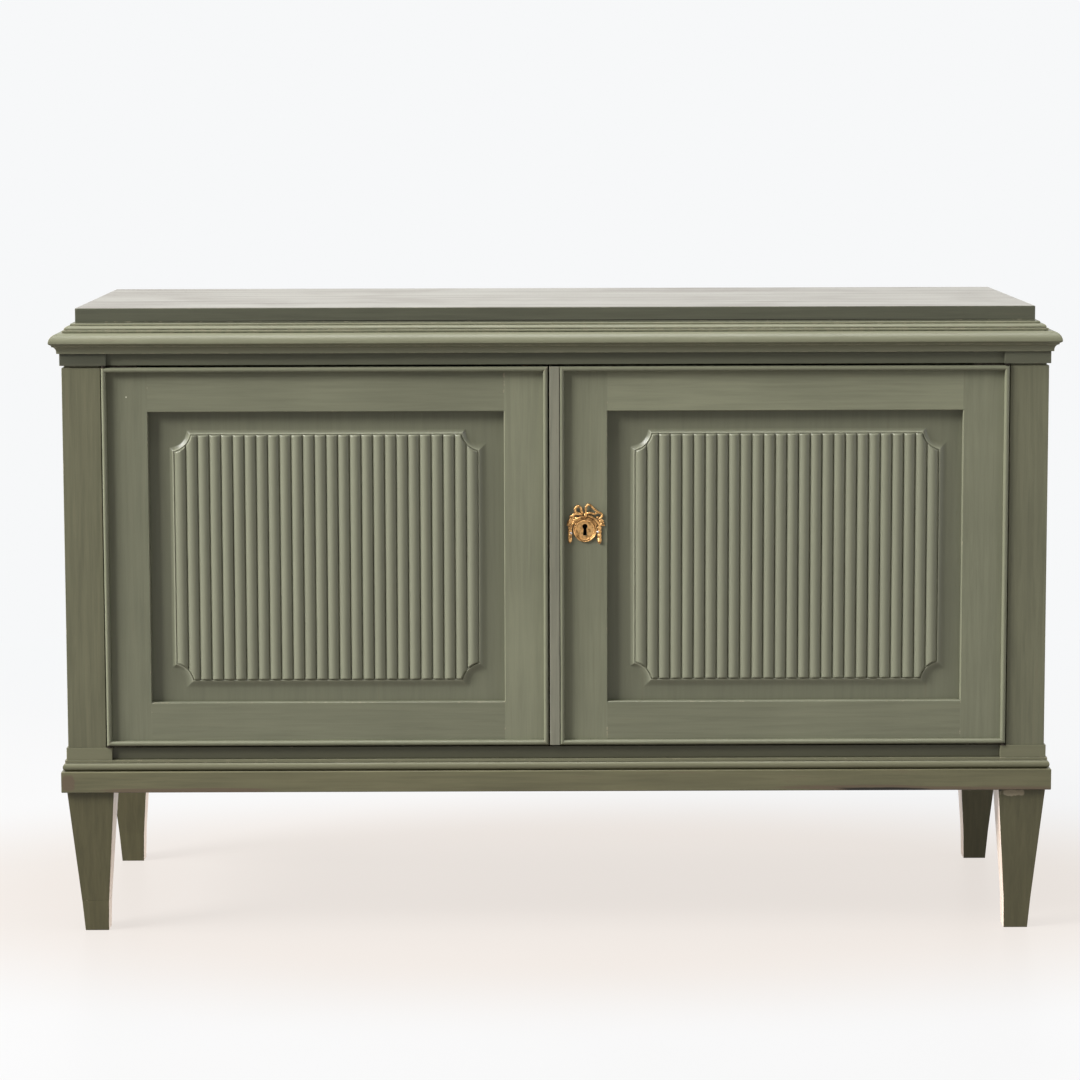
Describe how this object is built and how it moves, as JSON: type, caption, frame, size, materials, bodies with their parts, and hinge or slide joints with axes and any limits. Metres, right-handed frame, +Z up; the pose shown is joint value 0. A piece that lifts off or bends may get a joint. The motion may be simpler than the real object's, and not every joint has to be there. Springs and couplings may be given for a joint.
{
  "type": "sideboard",
  "caption": "Low painted sideboard on tapered legs, with a moulded cornice, reeded panel doors, a lock with a brass plate, and a shelf inside.",
  "frame": {"origin": "on the floor at the middle of the whole outline", "axes": "+X to the right along the front, +Y to the back, +Z up"},
  "size_m": [1.4, 0.55, 0.879],
  "materials": {
    "painted_wood": "grey-green brushed paint, worn at the edges",
    "painted_top": "grey-green paint with a satin sheen",
    "bare_pine": "bare aged pine",
    "brass": "gilt brass, worn",
    "iron": "dark forged iron"
  },
  "bodies": {
    "carcass": {"back_boards": "bare_pine", "base_block_left": "painted_wood", "base_block_right": "painted_wood", "base_moulding_front": "painted_wood", "base_moulding_left": "painted_wood", "base_moulding_right": "painted_wood", "base_rail": "painted_wood", "bottom_board": "bare_pine", "capital_left": "painted_wood", "capital_right": "painted_wood", "case_hinge_plates": "iron", "corner_blocks": "bare_pine", "cornice_front": "painted_wood", "cornice_left": "painted_wood", "cornice_right": "painted_wood", "foot_piece_front_left": "painted_wood", "frieze_rail": "painted_wood", "leg_front_left": "painted_wood", "leg_front_right": "painted_wood", "leg_rear_left": "painted_wood", "leg_rear_right": "painted_wood", "plinth_back": "bare_pine", "plinth_front": "painted_wood", "plinth_left": "painted_wood", "plinth_right": "painted_wood", "post_front_left": "painted_wood", "post_front_right": "painted_wood", "post_rear_left": "painted_wood", "post_rear_right": "painted_wood", "shelf": "bare_pine", "shelf_battens": "bare_pine", "side_beads": "painted_wood", "side_panel_left": "painted_wood", "side_panel_right": "painted_wood", "side_rails": "painted_wood", "sub_top": "bare_pine", "top_slab": "painted_top"},
    "left_door": {"left_door_beads": "painted_wood", "left_door_bottom_rail": "painted_wood", "left_door_hinge_plates": "iron", "left_door_hinge_stile": "painted_wood", "left_door_meeting_stile": "painted_wood", "left_door_panel": "painted_wood", "left_door_top_rail": "painted_wood", "flush_bolt_cases": "brass"},
    "right_door": {"right_door_beads": "painted_wood", "right_door_bottom_rail": "painted_wood", "right_door_hinge_plates": "iron", "right_door_hinge_stile": "painted_wood", "right_door_lock_stile": "painted_wood", "right_door_panel": "painted_wood", "right_door_top_rail": "painted_wood", "meeting_strip": "painted_wood", "lock_case": "iron", "escutcheon": "brass"},
    "lock_bolt": {"lock_bolt": "iron"},
    "upper_bolt": {"upper_bolt": "brass"},
    "lower_bolt": {"lower_bolt": "brass"}
  },
  "joints": [
    {"name": "left_door_hinge", "type": "hinge", "parent": "carcass", "child": "left_door", "pos_m": [-0.6254, -0.2602, 0.5], "axis": [0, 0, -1], "range_deg": [0, 110]},
    {"name": "right_door_hinge", "type": "hinge", "parent": "carcass", "child": "right_door", "pos_m": [0.6254, -0.2602, 0.5], "axis": [0, 0, 1], "range_deg": [0, 110]},
    {"name": "lock_bolt_slide", "type": "slide", "parent": "right_door", "child": "lock_bolt", "axis": [-1, 0, 0], "range_m": [0, 0.008]},
    {"name": "upper_bolt_slide", "type": "slide", "parent": "left_door", "child": "upper_bolt", "axis": [0, 0, 1], "range_m": [0, 0.01]},
    {"name": "lower_bolt_slide", "type": "slide", "parent": "left_door", "child": "lower_bolt", "axis": [0, 0, -1], "range_m": [0, 0.01]}
  ]
}
